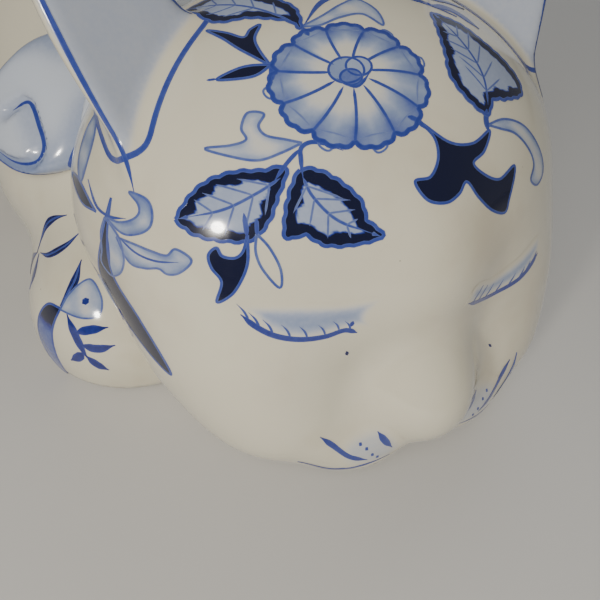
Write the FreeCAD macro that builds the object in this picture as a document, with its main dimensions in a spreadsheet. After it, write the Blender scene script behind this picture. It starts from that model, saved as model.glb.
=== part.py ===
import FreeCAD, Part
import Sketcher
import math
import os

# A sleeping cat in glazed porcelain, cast hollow from slip. The body, head, ears,
# legs, tail and ribbon are separate castings, stuck together with slip before firing,
# so each is one solid that stops where its neighbour begins.
# Frame: millimetres, +Z up, the cat faces -Y and its own left is +X. The origin is
# on the flat resting face, under the middle of the chest.

doc = FreeCAD.newDocument("sleeping_cat")

# Rounded masses that are blended into one skin. Each row is a name, the centre
# (out, along, up), the half sizes (out, along, up) and the width of the blend into the
# masses above it. Trunk masses are placed from the origin, with "along" towards the
# rump. Head masses are placed from the middle of the skull, with "along" towards the
# nose. A mass with a side is made on both sides.
TRUNK_MASSES = (
    ("barrel", (0, 66, 46), (104, 124, 82), 1),
    ("chest", (47, 4, 34), (52, 60, 50), 20),
    ("shoulder", (64, -57, 10), (39, 40, 40), 20),
    ("haunch", (60, 112, 34), (47, 60, 56), 16),
)
HEAD_MASSES = (
    ("skull", (0, -4, 6), (79, 68, 60), 1),
    ("cheek", (36, 27, -19), (34, 37, 32), 18),
    ("jowl", (30, 46, -32), (27, 25, 18), 14),
    ("brow", (0, 46, 10), (15, 18, 24), 16),
    ("nose", (0, 65, -22), (17, 19, 19), 14),
    ("muzzle", (17, 58, -40), (20, 19, 15), 10),
)
# Other driving sizes, one per row.
PLAIN_SIZES = (
    ("wall", 5),
    ("head_along", -88),
    ("head_up", 66),
    ("trunk_middle_along", 56),
    ("trunk_middle_up", 30),
    ("neck_bore", 22),
    ("slab_thick", 6),
    ("vent_radius", 4),
    ("vent_along", 62),
    ("forearm_out", 47),
    ("forearm_along", -86),
    ("forearm_up", 13),
    ("forearm_half_width", 20),
    ("forearm_half_length", 42),
    ("forearm_half_height", 20),
    ("forearm_turn", 24),
    ("forepaw_out", 27),
    ("forepaw_along", -116),
    ("forepaw_up", 10),
    ("forepaw_half_width", 18),
    ("forepaw_half_length", 23),
    ("forepaw_half_height", 14),
    ("hind_paw_out", 90),
    ("hind_paw_along", 76),
    ("hind_paw_up", 9),
    ("hind_paw_half_width", 20),
    ("hind_paw_half_length", 32),
    ("hind_paw_half_height", 14),
    ("ear_dish", 0.5),
    ("ear_swell", 4),
    ("ear_root_run", 1.3),
    ("ear_taper", 0.85),
    ("tail_root_radius", 16),
    ("tail_tip_radius", 9),
    ("tail_sink", 0.85),
    ("ribbon_thick", 4),
    ("ribbon_width", 18),
    ("ribbon_along", -37),
    ("knot_out", 0),
    ("knot_along", -24),
    ("knot_up", 103),
    ("knot_half_width", 15),
    ("knot_half_length", 13),
    ("knot_half_height", 11),
    ("loop_out", 38),
    ("loop_along", -6),
    ("loop_up", 99),
    ("loop_half_width", 34),
    ("loop_half_length", 20),
    ("loop_half_height", 13),
    ("loop_droop", 22),
    ("loop_band", 6),
    ("loop_eye_shift", 2),
    ("streamer_thick", 7),
    ("streamer_front", 43),
    ("streamer_back", 8),
    ("streamer_bottom", 57),
    ("streamer_widest", 66),
    ("streamer_top", 97),
    ("streamer_taper", 11),
    ("work_reach", 400),
)

# Corners of an ear, from the middle of the skull: (out, towards the nose, up).
EAR_CORNERS = (
    ("ear_tip", (80, -24, 104)),
    ("ear_front", (64, 18, 35)),
    ("ear_crown", (38, -12, 62)),
    ("ear_rear", (56, -36, 38)),
)

# The tail lies on the floor round the left haunch, root to tip: (out, along).
TAIL_PATH = (
    ("tail_root", (14, 180)),
    ("tail_turn", (66, 172)),
    ("tail_bend", (102, 138)),
    ("tail_tip", (112, 98)),
)

sheet = doc.addObject("Spreadsheet::Sheet", "Sizes")
row_count = 0


def store(alias, value):
    global row_count
    row_count += 1
    sheet.set("A%d" % row_count, alias)
    sheet.set("B%d" % row_count, str(value))
    sheet.setAlias("B%d" % row_count, alias)


for name, centre, half, width in TRUNK_MASSES + HEAD_MASSES:
    for word, value in zip(("out", "along", "up"), centre):
        store(name + "_" + word, value)
    for word, value in zip(("half_width", "half_length", "half_height"), half):
        store(name + "_" + word, value)
    store(name + "_blend", width)
for alias, value in PLAIN_SIZES:
    store(alias, value)
for name, corner in EAR_CORNERS:
    for word, value in zip(("out", "along", "up"), corner):
        store(name + "_" + word, value)
for name, place in TAIL_PATH:
    for word, value in zip(("out", "along"), place):
        store(name + "_" + word, value)
doc.recompute()


def size(alias):
    return float(getattr(sheet, alias))


def spot(name):
    return tuple(size(name + "_" + word) for word in ("out", "along", "up"))


# ---- distance fields: how far a point is outside a skin, negative inside ----

def ellipsoid(point, centre, half):
    scaled = [(p - c) / r for p, c, r in zip(point, centre, half)]
    near = math.sqrt(sum(u * u for u in scaled))
    slope = math.sqrt(sum((u / r) ** 2 for u, r in zip(scaled, half)))
    return near * (near - 1) / max(slope, 1e-9)


def blend(first, second, width):
    mix = min(max(0.5 + 0.5 * (second - first) / width, 0), 1)
    return second + (first - second) * mix - width * mix * (1 - mix)


def read_masses(rows):
    halves = ("half_width", "half_length", "half_height")
    return [
        (spot(row[0]), [size(row[0] + "_" + word) for word in halves], size(row[0] + "_blend"))
        for row in rows
    ]


def skin(masses, point):
    first = masses[0]
    distance = ellipsoid(point, first[0], first[1])
    for centre, half, width in masses[1:]:
        distance = blend(distance, ellipsoid(point, centre, half), width)
    return distance


trunk_masses = read_masses(TRUNK_MASSES)
head_masses = read_masses(HEAD_MASSES)
head_middle = (0.0, size("head_along"), size("head_up"))


def trunk_field(point):
    return skin(trunk_masses, (abs(point[0]), point[1], point[2]))


def to_head(point):
    return (point[0], head_middle[1] - point[1], point[2] - head_middle[2])


def head_field(point):
    return skin(head_masses, to_head((abs(point[0]), point[1], point[2])))


# ---- a closed skin lofted from a field ----

# A search steps in by this share of the distance left, until it is close enough.
STEP_SHARE = 0.7
MOST_STEPS = 120
CLOSE_ENOUGH = 1e-4

def surface_point(field, middle, heading, level):
    """The point where the field has this level, on a straight line out from middle."""
    reach = size("work_reach")
    for _ in range(MOST_STEPS):
        point = tuple(m + reach * h for m, h in zip(middle, heading))
        gap = field(point) - level
        reach -= STEP_SHARE * gap
        if abs(gap) < CLOSE_ENOUGH:
            break
    return FreeCAD.Vector(*point)


def closed_skin(field, middle, pole, seam, level, rings, spokes):
    """A solid lofted through rings about the axis pole, with a point at each end.

    The seam of every ring lies on the side that seam points to, away from any
    neighbour that is later cut out of the solid.
    """
    axis = FreeCAD.Vector(*pole).normalize()
    other = axis.cross(FreeCAD.Vector(*seam)).normalize()
    side = other.cross(axis)
    sections = [Part.Vertex(surface_point(field, middle, tuple(axis), level))]
    for ring in range(1, rings):
        tilt = math.pi * ring / rings
        points = []
        for spoke in range(spokes):
            turn = 2 * math.pi * spoke / spokes
            around = side * math.cos(turn) + other * math.sin(turn)
            heading = axis * math.cos(tilt) + around * math.sin(tilt)
            points.append(surface_point(field, middle, tuple(heading), level))
        curve = Part.BSplineCurve()
        curve.interpolate(Points=points, PeriodicFlag=True)
        sections.append(Part.Wire([curve.toShape()]))
    sections.append(Part.Vertex(surface_point(field, middle, tuple(axis * -1), level)))
    solid = Part.makeLoft(sections, True, False)
    if solid.Volume < 0:
        solid.reverse()
    return solid


def feature(name, shape):
    made = doc.addObject("Part::Feature", name)
    made.Shape = shape
    made.Placement = FreeCAD.Placement()
    return made


def bind(thing, **sizes):
    for key, expression in sizes.items():
        thing.setExpression(key.replace("__", "."), expression)
    return thing


def boolean(kind, label, base, tools):
    for tool in tools:
        step = doc.addObject(kind, "step")
        step.Base = base
        step.Tool = tool
        base = step
    base.Label = label
    return base


def cut(label, base, *tools):
    return boolean("Part::Cut", label, base, tools)


def common(label, base, *tools):
    return boolean("Part::Common", label, base, tools)


sub_parts = []


def keep(label, base, *tools):
    """Cut the neighbours out of a piece and list it as a sub-part."""
    piece = cut(label, base, *tools)
    sub_parts.append(piece)
    return piece


def oval(name, sizes, side=1):
    """An ellipsoid bound to the sizes whose names start with the word given."""
    return bind(
        doc.addObject("Part::Ellipsoid", name),
        Radius1="Sizes.%s_half_height" % sizes,
        Radius2="Sizes.%s_half_width" % sizes,
        Radius3="Sizes.%s_half_length" % sizes,
        Placement__Base__x="%d * Sizes.%s_out" % (side, sizes),
        Placement__Base__y="Sizes.%s_along" % sizes,
        Placement__Base__z="Sizes.%s_up" % sizes,
    )


# ---- shared tools ----

UP = (0, 0, 1)
UPWARD = FreeCAD.Vector(*UP)
REAR = (0, 1, 0)
FRONT = (0, -1, 0)
trunk_middle = (0.0, size("trunk_middle_along"), size("trunk_middle_up"))


# How finely the skins are lofted.
RINGS = 18
TRUNK_SPOKES = 28
HEAD_SPOKES = 32


def trunk_skin(name, level):
    shape = closed_skin(trunk_field, trunk_middle, UP, REAR, level, RINGS, TRUNK_SPOKES)
    return feature(name, shape)


def head_skin(name, level, seam):
    shape = closed_skin(head_field, head_middle, UP, seam, level, RINGS, HEAD_SPOKES)
    return feature(name, shape)


# The same head twice: this one, with its seam in front, is what neighbours are cut by.
trunk = trunk_skin("trunk_skin", 0)
head = head_skin("head_skin", 0, FRONT)

below = bind(
    doc.addObject("Part::Box", "below_floor"),
    Length="2 * Sizes.work_reach",
    Width="2 * Sizes.work_reach",
    Height="Sizes.work_reach",
    Placement__Base__x="-Sizes.work_reach",
    Placement__Base__y="-Sizes.work_reach",
    Placement__Base__z="-Sizes.work_reach",
)

# ---- body: the hollow trunk with shoulders and haunches, and the slab that closes it ----

cavity = trunk_skin("trunk_cavity", -size("wall"))
keep("body_shell", trunk, cavity, head, below)

slab_space = bind(
    doc.addObject("Part::Box", "slab_space"),
    Length="2 * Sizes.work_reach",
    Width="2 * Sizes.work_reach",
    Height="Sizes.slab_thick",
    Placement__Base__x="-Sizes.work_reach",
    Placement__Base__y="-Sizes.work_reach",
)
vent = bind(
    doc.addObject("Part::Cylinder", "vent"),
    Radius="Sizes.vent_radius",
    Height="2 * Sizes.slab_thick",
    Placement__Base__y="Sizes.vent_along",
    Placement__Base__z="-Sizes.slab_thick / 2",
)
keep("base_slab", common("slab_blank", cavity, slab_space), vent)

# ---- head: hollow, with a round opening in its back so that it vents into the body ----

head_outside = head_skin("head_outside", 0, REAR)
head_cavity = head_skin("head_cavity", -size("wall"), REAR)
neck_bore = bind(
    doc.addObject("Part::Cylinder", "neck_bore"),
    Radius="Sizes.neck_bore",
    Height="2 * Sizes.skull_half_length",
    Placement__Base__y="Sizes.head_along",
    Placement__Base__z="Sizes.head_up",
)
neck_bore.Placement.Rotation = FreeCAD.Rotation(FreeCAD.Vector(1, 0, 0), -90)
keep("head_shell", head_outside, head_cavity, neck_bore)

# ---- ears, forelegs and hind paws, one of each on both sides ----

# How far along from root to tip each section of an ear is.
EAR_SHARES = (0.0, 0.25, 0.5, 0.7, 0.85, 0.95)


def ear_skin():
    """The left ear, lofted from its root inside the head to its tip.

    Each section is a rounded triangle: the front side is dished, the two others swell.
    """
    tip, front, crown, rear = [
        FreeCAD.Vector(corner[0], head_middle[1] - corner[1], head_middle[2] + corner[2])
        for corner in (spot(name) for name, _ in EAR_CORNERS)
    ]
    run = size("ear_root_run")
    front, crown, rear = [tip + (corner - tip) * run for corner in (front, crown, rear)]
    middle = (front + crown + rear) / 3
    sections = []
    for share in EAR_SHARES:
        left_over = (1 - share) ** size("ear_taper")
        shift = tip * share + middle * (1 - share)
        points = []
        for one, two, push in (
            (front, crown, -size("ear_dish")),
            (crown, rear, size("ear_swell")),
            (rear, front, size("ear_swell")),
        ):
            half_way = (one + two) / 2 - middle
            pushed = half_way + FreeCAD.Vector(half_way).normalize() * push
            points.append(shift + (one - middle) * left_over)
            points.append(shift + pushed * left_over)
        curve = Part.BSplineCurve()
        curve.interpolate(Points=points, PeriodicFlag=True)
        sections.append(Part.Wire([curve.toShape()]))
    sections.append(Part.Vertex(tip))
    return Part.makeLoft(sections, True, False)


ear_blank = ear_skin()


def on_side(side, shape):
    if side > 0:
        return shape
    return shape.mirror(FreeCAD.Vector(0, 0, 0), FreeCAD.Vector(1, 0, 0))


for side, word in ((-1, "right"), (1, "left")):
    ear = feature(word + "_ear_blank", on_side(side, ear_blank))
    keep(word + "_ear", ear, head)
    forearm = oval(word + "_forearm", "forearm", side)
    forearm.Placement.Rotation = FreeCAD.Rotation(UPWARD, -side * size("forearm_turn"))
    forepaw = oval(word + "_forepaw", "forepaw", side)
    leg = boolean("Part::Fuse", word + "_leg_blank", forearm, [forepaw])
    keep(word + "_foreleg", leg, trunk, head, below)
    paw = oval(word + "_paw_blank", "hind_paw", side)
    keep(word + "_hind_paw", paw, trunk, below)

# ---- tail: a tapered roll on the floor, round the left haunch ----


TAIL_STEPS = 8


def tail_shape():
    places = [(size(n + "_out"), size(n + "_along")) for n, _ in TAIL_PATH]
    root, tip = size("tail_root_radius"), size("tail_tip_radius")
    radii = [root + (tip - root) * i / (len(places) - 1) for i in range(len(places))]
    sink = size("tail_sink")
    line = Part.BSplineCurve()
    line.interpolate(
        [FreeCAD.Vector(x, y, r * sink) for (x, y), r in zip(places, radii)]
    )
    wires = []
    for step in range(TAIL_STEPS + 1):
        share = step / TAIL_STEPS
        at = line.FirstParameter + share * (line.LastParameter - line.FirstParameter)
        ring = Part.Circle(line.value(at), FreeCAD.Vector(*line.tangent(at)[0]),
                           root + (tip - root) * share)
        wires.append(Part.Wire([ring.toShape()]))
    return Part.makeLoft(wires, True, False)


tail_roll = feature("tail_roll", tail_shape())
tail_end = bind(
    doc.addObject("Part::Sphere", "tail_end"),
    Radius="Sizes.tail_tip_radius",
    Placement__Base__x="Sizes.tail_tip_out",
    Placement__Base__y="Sizes.tail_tip_along",
    Placement__Base__z="Sizes.tail_tip_radius * Sizes.tail_sink",
)
left_paw = doc.getObject("left_paw_blank")
tail_blank = boolean("Part::Fuse", "tail_blank", tail_roll, [tail_end])
keep("tail", tail_blank, trunk, left_paw, below)

# ---- ribbon: a band round the neck, a knot, two loops and two streamers ----

band_skin = head_skin("band_skin", size("ribbon_thick"), FRONT)
band_space = bind(
    doc.addObject("Part::Box", "band_space"),
    Length="2 * Sizes.work_reach",
    Width="Sizes.ribbon_width",
    Height="2 * Sizes.work_reach",
    Placement__Base__x="-Sizes.work_reach",
    Placement__Base__y="Sizes.ribbon_along - Sizes.ribbon_width / 2",
    Placement__Base__z="-Sizes.work_reach",
)
neck_ribbon = keep("neck_ribbon", common("band_blank", band_skin, band_space), head, trunk)

knot = oval("knot_blank", "knot")
keep("bow_knot", knot, head, trunk, neck_ribbon)

streamer_skin = trunk_skin("streamer_skin", size("streamer_thick"))


def origin_plane(body, role):
    return [plane for plane in body.Origin.OriginFeatures if plane.Role == role][0]


def streamer_outline(word, reverse):
    """A strip seen from the side, narrow at the knot and flared at its free end."""
    body = doc.addObject("PartDesign::Body", word + "_streamer_block")
    sketch = body.newObject("Sketcher::SketchObject", word + "_streamer_outline")
    sketch.AttachmentSupport = [(origin_plane(body, "YZ_Plane"), "")]
    sketch.MapMode = "FlatFace"
    corners = (
        ("Sizes.streamer_taper - Sizes.streamer_front", "Sizes.streamer_top"),
        ("-Sizes.streamer_front", "Sizes.streamer_widest"),
        ("Sizes.streamer_taper - Sizes.streamer_front", "Sizes.streamer_bottom"),
        ("Sizes.streamer_back", "Sizes.streamer_bottom"),
        ("Sizes.streamer_back - Sizes.streamer_taper", "Sizes.streamer_top"),
    )
    front, back, taper = [size("streamer_" + key) for key in ("front", "back", "taper")]
    top, bottom = size("streamer_top"), size("streamer_bottom")
    start = [
        FreeCAD.Vector(along, up, 0)
        for along, up in (
            (taper - front, top),
            (-front, size("streamer_widest")),
            (taper - front, bottom),
            (back, bottom),
            (back - taper, top),
        )
    ]
    for index, point in enumerate(start):
        sketch.addGeometry(Part.LineSegment(point, start[(index + 1) % len(start)]), False)
    for index, (along, up) in enumerate(corners):
        following = (index + 1) % len(corners)
        sketch.addConstraint(Sketcher.Constraint("Coincident", index, 2, following, 1))
        for kind, expression in (("DistanceX", along), ("DistanceY", up)):
            value = start[index].x if kind == "DistanceX" else start[index].y
            number = sketch.addConstraint(Sketcher.Constraint(kind, -1, 1, index, 1, value))
            sketch.setExpression("Constraints[%d]" % number, expression)
    pad = body.newObject("PartDesign::Pad", word + "_streamer_pad")
    pad.Profile = sketch
    pad.Reversed = reverse
    pad.setExpression("Length", "Sizes.work_reach")
    return body


for side, word in ((-1, "right"), (1, "left")):
    outer = oval(word + "_loop_blank", "loop", side)
    eye = bind(
        doc.addObject("Part::Ellipsoid", word + "_loop_eye"),
        Radius1="Sizes.loop_half_height - Sizes.loop_band",
        Radius2="Sizes.loop_half_width - Sizes.loop_band",
        Radius3="2 * Sizes.loop_half_length",
        Placement__Base__x="%d * (Sizes.loop_out + Sizes.loop_eye_shift)" % side,
        Placement__Base__y="Sizes.loop_along",
        Placement__Base__z="Sizes.loop_up",
    )
    droop = FreeCAD.Rotation(FreeCAD.Vector(0, 1, 0), side * size("loop_droop"))
    outer.Placement.Rotation = droop
    eye.Placement.Rotation = droop
    loop = keep("bow_%s_loop" % word, outer, eye, trunk, head, neck_ribbon, knot)

    block = streamer_outline(word, side < 0)
    strip = common(word + "_streamer_blank", streamer_skin, block)
    keep("ribbon_%s_streamer" % word, strip, trunk, head, neck_ribbon, knot, outer)

# ---- check and write ----

doc.recompute()
for thing in doc.Objects:
    if "Invalid" in thing.State or "Error" in thing.State:
        raise RuntimeError("failed: %s (%s)" % (thing.Label, thing.State))
for piece in sub_parts:
    if piece.Shape.isNull() or not piece.Shape.isValid():
        raise RuntimeError("bad shape: " + piece.Label)
os.makedirs("parts", exist_ok=True)
for piece in sub_parts:
    box = piece.Shape.BoundBox
    print("%-24s solids %d volume %8.0f  x %.0f..%.0f y %.0f..%.0f z %.1f..%.1f" % (
        piece.Label, len(piece.Shape.Solids), piece.Shape.Volume,
        box.XMin, box.XMax, box.YMin, box.YMax, box.ZMin, box.ZMax))
    piece.Shape.exportStep("parts/%s.step" % piece.Label)
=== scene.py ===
import math
import random

import bpy
import numpy as np
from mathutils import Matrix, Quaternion, Vector
from mathutils.geometry import delaunay_2d_cdt


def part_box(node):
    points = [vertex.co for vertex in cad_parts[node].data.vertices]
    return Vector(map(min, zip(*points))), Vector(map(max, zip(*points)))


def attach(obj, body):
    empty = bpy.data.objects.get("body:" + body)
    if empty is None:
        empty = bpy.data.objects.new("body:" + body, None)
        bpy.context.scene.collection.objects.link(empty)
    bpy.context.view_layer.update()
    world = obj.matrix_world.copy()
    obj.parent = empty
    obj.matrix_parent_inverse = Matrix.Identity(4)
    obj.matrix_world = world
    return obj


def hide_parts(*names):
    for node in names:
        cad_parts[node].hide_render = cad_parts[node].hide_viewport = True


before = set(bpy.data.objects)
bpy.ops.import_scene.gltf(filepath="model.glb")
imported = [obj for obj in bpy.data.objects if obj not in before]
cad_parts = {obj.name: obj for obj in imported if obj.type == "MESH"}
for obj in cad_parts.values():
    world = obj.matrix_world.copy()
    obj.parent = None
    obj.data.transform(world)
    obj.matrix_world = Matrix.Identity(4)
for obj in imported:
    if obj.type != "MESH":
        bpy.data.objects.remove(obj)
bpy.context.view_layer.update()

# ---- Camera, floor and light ----
# A close view from above the cat's right brow. The floor is a plain pale sheet.
# One small soft lamp makes the sharp glint on the glaze, two large ones fill the rest.
# Every shape below is worked out in millimetres and written to its mesh in metres.

MM = 0.001
head_low, head_high = (np.array(corner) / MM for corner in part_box("head_shell"))
SKULL_BEHIND = 72
SKULL_ABOVE = 66
skull = np.array([0.0, head_high[1] - SKULL_BEHIND, head_high[2] - SKULL_ABOVE])


def heading(azimuth, elevation):
    """A unit vector. Azimuth 0 points past the cat's nose and 90 to its own left."""
    turn = math.radians(azimuth)
    rise = math.radians(elevation)
    level = math.cos(rise)
    return np.array([math.sin(turn) * level, -math.cos(turn) * level, math.sin(rise)])


EYE_DISTANCE = 208
EYE_ROLL = 5
FIELD_OF_VIEW = 53
SENSOR_WIDTH = 36
eye_place = skull + EYE_DISTANCE * heading(-31, 38)
eye_back = Vector(heading(-29.5, 48))
camera = bpy.data.objects.new("camera", bpy.data.cameras.new("camera"))
bpy.context.scene.collection.objects.link(camera)
camera.location = Vector(eye_place * MM)
camera.rotation_mode = "QUATERNION"
level_view = (-eye_back).to_track_quat("-Z", "Y")
camera.rotation_quaternion = Quaternion(eye_back, math.radians(EYE_ROLL)) @ level_view
camera.data.sensor_width = SENSOR_WIDTH
camera.data.lens = SENSOR_WIDTH / 2 / math.tan(math.radians(FIELD_OF_VIEW / 2))
camera.data.clip_start = 0.01
bpy.context.scene.camera = camera


def lamp(name, target, direction, distance, size, watts, colour, mirrored=True):
    """A round soft lamp that shines on target. Some lamps aren't seen in the glaze."""
    light = bpy.data.lights.new(name, "AREA")
    light.shape = "DISK"
    light.size = size
    light.energy = watts
    light.color = colour
    holder = bpy.data.objects.new(name, light)
    bpy.context.scene.collection.objects.link(holder)
    holder.location = Vector((target + direction * distance) * MM)
    holder.visible_glossy = mirrored
    holder.rotation_mode = "QUATERNION"
    holder.rotation_quaternion = Vector(-direction).to_track_quat("-Z", "Y")


GLINT_PLACE = skull + np.array([-48, -38, 34])
lamp("glint_lamp", GLINT_PLACE, heading(-59.7, 19.3), 900, 0.10, 3.2, (1.0, 0.95, 0.86))
lamp("front_lamp", skull, heading(-36, 44), 620, 0.45, 2.6, (1.0, 0.96, 0.89), mirrored=False)
lamp("back_lamp", skull, heading(140, 40), 1500, 1.2, 5.0, (0.92, 0.96, 1.0), mirrored=False)

world = bpy.data.worlds.new("room")
world.use_nodes = True
world.node_tree.nodes["Background"].inputs["Color"].default_value = (0.86, 0.87, 0.88, 1)
world.node_tree.nodes["Background"].inputs["Strength"].default_value = 0.17
bpy.context.scene.world = world

FLOOR_HALF = 4.0
FLOOR_DROP = 0.0002
floor_mesh = bpy.data.meshes.new("floor")
FLOOR_CORNERS = ((-1, -1), (1, -1), (1, 1), (-1, 1))
floor_corners = [(x * FLOOR_HALF, y * FLOOR_HALF, -FLOOR_DROP) for x, y in FLOOR_CORNERS]
floor_mesh.from_pydata(floor_corners, [], [(0, 1, 2, 3)])
floor = bpy.data.objects.new("floor", floor_mesh)
bpy.context.scene.collection.objects.link(floor)
floor_paint = bpy.data.materials.new("floor_paint")
floor_paint.use_nodes = True
floor_shader = floor_paint.node_tree.nodes["Principled BSDF"]
floor_shader.inputs["Base Color"].default_value = (0.60, 0.59, 0.57, 1)
floor_shader.inputs["Roughness"].default_value = 0.75
floor_mesh.materials.append(floor_paint)

# ---- Trunk ----
# The cat's hollow body: barrel, chest, shoulders and haunches in one slip casting.
# It is white porcelain under a clear warm glaze, with iron specks fired into it.

# Each mass: centre (out, along, up), half sizes, and the width of its blend.
TRUNK = (
    ((0, 66, 46), (104, 124, 82), 1),
    ((47, 4, 34), (52, 60, 50), 20),
    ((64, -57, 10), (39, 40, 40), 20),
    ((60, 112, 34), (47, 60, 56), 16),
)
# The same for the head, measured from the middle of the skull towards the nose.
HEAD = (
    ((0, -4, 6), (79, 68, 60), 1),
    ((36, 27, -19), (34, 37, 32), 18),
    ((30, 46, -32), (27, 25, 18), 14),
    ((0, 46, 10), (15, 18, 24), 16),
    ((0, 65, -22), (17, 19, 19), 14),
    ((17, 58, -40), (20, 19, 15), 10),
)
FOOT_ROUND = 5
FOOT_GAP = 0.2


def ellipsoid(points, centre, half):
    """How far points are outside an ellipsoid, negative inside."""
    scaled = (points - np.array(centre, float)) / half
    near = np.linalg.norm(scaled, axis=-1)
    slope = np.linalg.norm(scaled / half, axis=-1)
    return near * (near - 1) / np.maximum(slope, 1e-9)


def join(first, second, width):
    """Both shapes, with a fillet of about that width between them."""
    mix = np.clip(0.5 + 0.5 * (second - first) / width, 0, 1)
    return second + (first - second) * mix - width * mix * (1 - mix)


def shared(first, second, width):
    """What two shapes share, with a rounded edge."""
    return -join(-first, -second, width)


def masses(points, rows):
    total = ellipsoid(points, rows[0][0], rows[0][1])
    for centre, half, width in rows[1:]:
        total = join(total, ellipsoid(points, centre, half), width)
    return total


def folded(points):
    """The same points, all moved to the cat's left side."""
    return np.concatenate([np.abs(points[..., :1]), points[..., 1:]], axis=-1)


def trunk_skin(points):
    return masses(folded(points), TRUNK)


def head_local(points):
    """Out, towards the nose and up, from the middle of the skull."""
    return folded((points - skull) * np.array([1, -1, 1]))


def head_skin(points):
    return masses(head_local(points), HEAD)


def above_floor(points, solid):
    return shared(solid, FOOT_GAP - points[..., 2], FOOT_ROUND)


def gradient(skin, points):
    reach = 0.05
    steps = reach * np.eye(3)
    return np.stack([skin(points + s) - skin(points - s) for s in steps], -1) / (2 * reach)


def settle(skin, points, rounds=4):
    """Points moved onto a skin, each by the shortest way."""
    for _ in range(rounds):
        slope = gradient(skin, points)
        points = points - (skin(points) / np.maximum((slope ** 2).sum(-1), 1e-6))[..., None] * slope
    return points


def unit(vectors):
    return vectors / np.maximum(np.linalg.norm(vectors, axis=-1, keepdims=True), 1e-9)


def sculpt(skin, low, high, step):
    """Quads over a skin: one vertex in every grid cell that the skin crosses."""
    counts = np.ceil(np.subtract(high, low) / step).astype(int) + 1
    axes = [low[i] + step * np.arange(counts[i]) for i in range(3)]
    grid = np.stack(np.meshgrid(*axes, indexing="ij"), -1)
    values = np.stack([skin(slab) for slab in grid])
    cells = counts - 1
    total = np.zeros(tuple(cells) + (3,))
    found = np.zeros(tuple(cells))
    crossings = []
    for axis in range(3):
        near = tuple(slice(0, -1) if i == axis else slice(None) for i in range(3))
        far = tuple(slice(1, None) if i == axis else slice(None) for i in range(3))
        start, end = values[near], values[far]
        crossed = (start < 0) != (end < 0)
        places = np.argwhere(crossed)
        points = grid[near][crossed].copy()
        points[:, axis] += step * start[crossed] / (start[crossed] - end[crossed])
        others = [(axis + 1) % 3, (axis + 2) % 3]
        ring = []
        for shift in ((-1, -1), (0, -1), (0, 0), (-1, 0)):
            cell = places.copy()
            cell[:, others] += shift
            ring.append(cell)
            inside = np.all((cell >= 0) & (cell < cells), axis=1)
            np.add.at(total, tuple(cell[inside].T), points[inside])
            np.add.at(found, tuple(cell[inside].T), 1)
        crossings.append((ring, start[crossed] < 0))
    used = found > 0
    numbers = -np.ones(tuple(cells), int)
    numbers[used] = np.arange(used.sum())
    faces = []
    for ring, outward in crossings:
        whole = np.all([np.all((cell >= 0) & (cell < cells), axis=1) for cell in ring], axis=0)
        quads = np.stack([numbers[tuple(cell[whole].T)] for cell in ring], 1)
        turned = ~outward[whole]
        quads[turned] = quads[turned][:, ::-1]
        faces.append(quads)
    return settle(skin, total[used] / found[used][:, None]), np.concatenate(faces)


def piece(name, points, faces, material, normals=None, cobalt=None, replaces=()):
    """A mesh of the object, in place, riding on its one body."""
    mesh = bpy.data.meshes.new(name)
    faces = faces if isinstance(faces, list) else faces.tolist()
    mesh.from_pydata((points * MM).tolist(), [], faces)
    mesh.shade_smooth()
    if cobalt is not None:
        painted = mesh.attributes.new("cobalt", "FLOAT", "POINT")
        painted.data.foreach_set("value", np.asarray(cobalt, np.float32))
    if normals is not None:
        mesh.normals_split_custom_set_from_vertices(normals.tolist())
    mesh.materials.append(material)
    made = bpy.data.objects.new(name, mesh)
    bpy.context.scene.collection.objects.link(made)
    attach(made, "root")
    if replaces:
        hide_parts(*replaces)
    return made


class Wiring:
    """Adds and links nodes in one tree."""

    def __init__(self, tree):
        self.tree = tree

    def add(self, kind, **settings):
        node = self.tree.nodes.new(kind)
        for key, value in settings.items():
            setattr(node, key, value)
        return node

    def link(self, source, target):
        self.tree.links.new(source, target)

    def feed(self, socket, value):
        if isinstance(value, bpy.types.NodeSocket):
            self.link(value, socket)
        else:
            socket.default_value = value

    def sum(self, operation, first, second, third=None):
        node = self.add("ShaderNodeMath", operation=operation)
        self.feed(node.inputs[0], first)
        self.feed(node.inputs[1], second)
        if third is not None:
            self.feed(node.inputs[2], third)
        return node.outputs[0]

    def mix(self, share, first, second):
        node = self.add("ShaderNodeMix", data_type="RGBA")
        self.feed(node.inputs["Factor"], share)
        self.feed(node.inputs["A"], first)
        self.feed(node.inputs["B"], second)
        return node.outputs["Result"]

    def ramp(self, value, low, high, from_value=0.0, to_value=1.0):
        """A smooth step between two levels of value."""
        node = self.add("ShaderNodeMapRange", interpolation_type="SMOOTHSTEP")
        self.feed(node.inputs["Value"], value)
        self.feed(node.inputs["From Min"], low)
        self.feed(node.inputs["From Max"], high)
        self.feed(node.inputs["To Min"], from_value)
        self.feed(node.inputs["To Max"], to_value)
        return node.outputs["Result"]

    def noise(self, place, scale, detail=2.0):
        node = self.add("ShaderNodeTexNoise")
        self.feed(node.inputs["Vector"], place)
        node.inputs["Scale"].default_value = scale
        node.inputs["Detail"].default_value = detail
        return node.outputs["Fac"]


def effect(name, inputs, outputs):
    """An empty node group with these sockets, and its wiring, way in and way out."""
    tree = bpy.data.node_groups.new(name, "ShaderNodeTree")
    for title, kind, value in inputs:
        socket = tree.interface.new_socket(name=title, in_out="INPUT", socket_type=kind)
        socket.default_value = value
    for title, kind in outputs:
        tree.interface.new_socket(name=title, in_out="OUTPUT", socket_type=kind)
    wiring = Wiring(tree)
    return wiring, wiring.add("NodeGroupInput"), wiring.add("NodeGroupOutput")


COLOUR = "NodeSocketColor"
NUMBER = "NodeSocketFloat"
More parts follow.
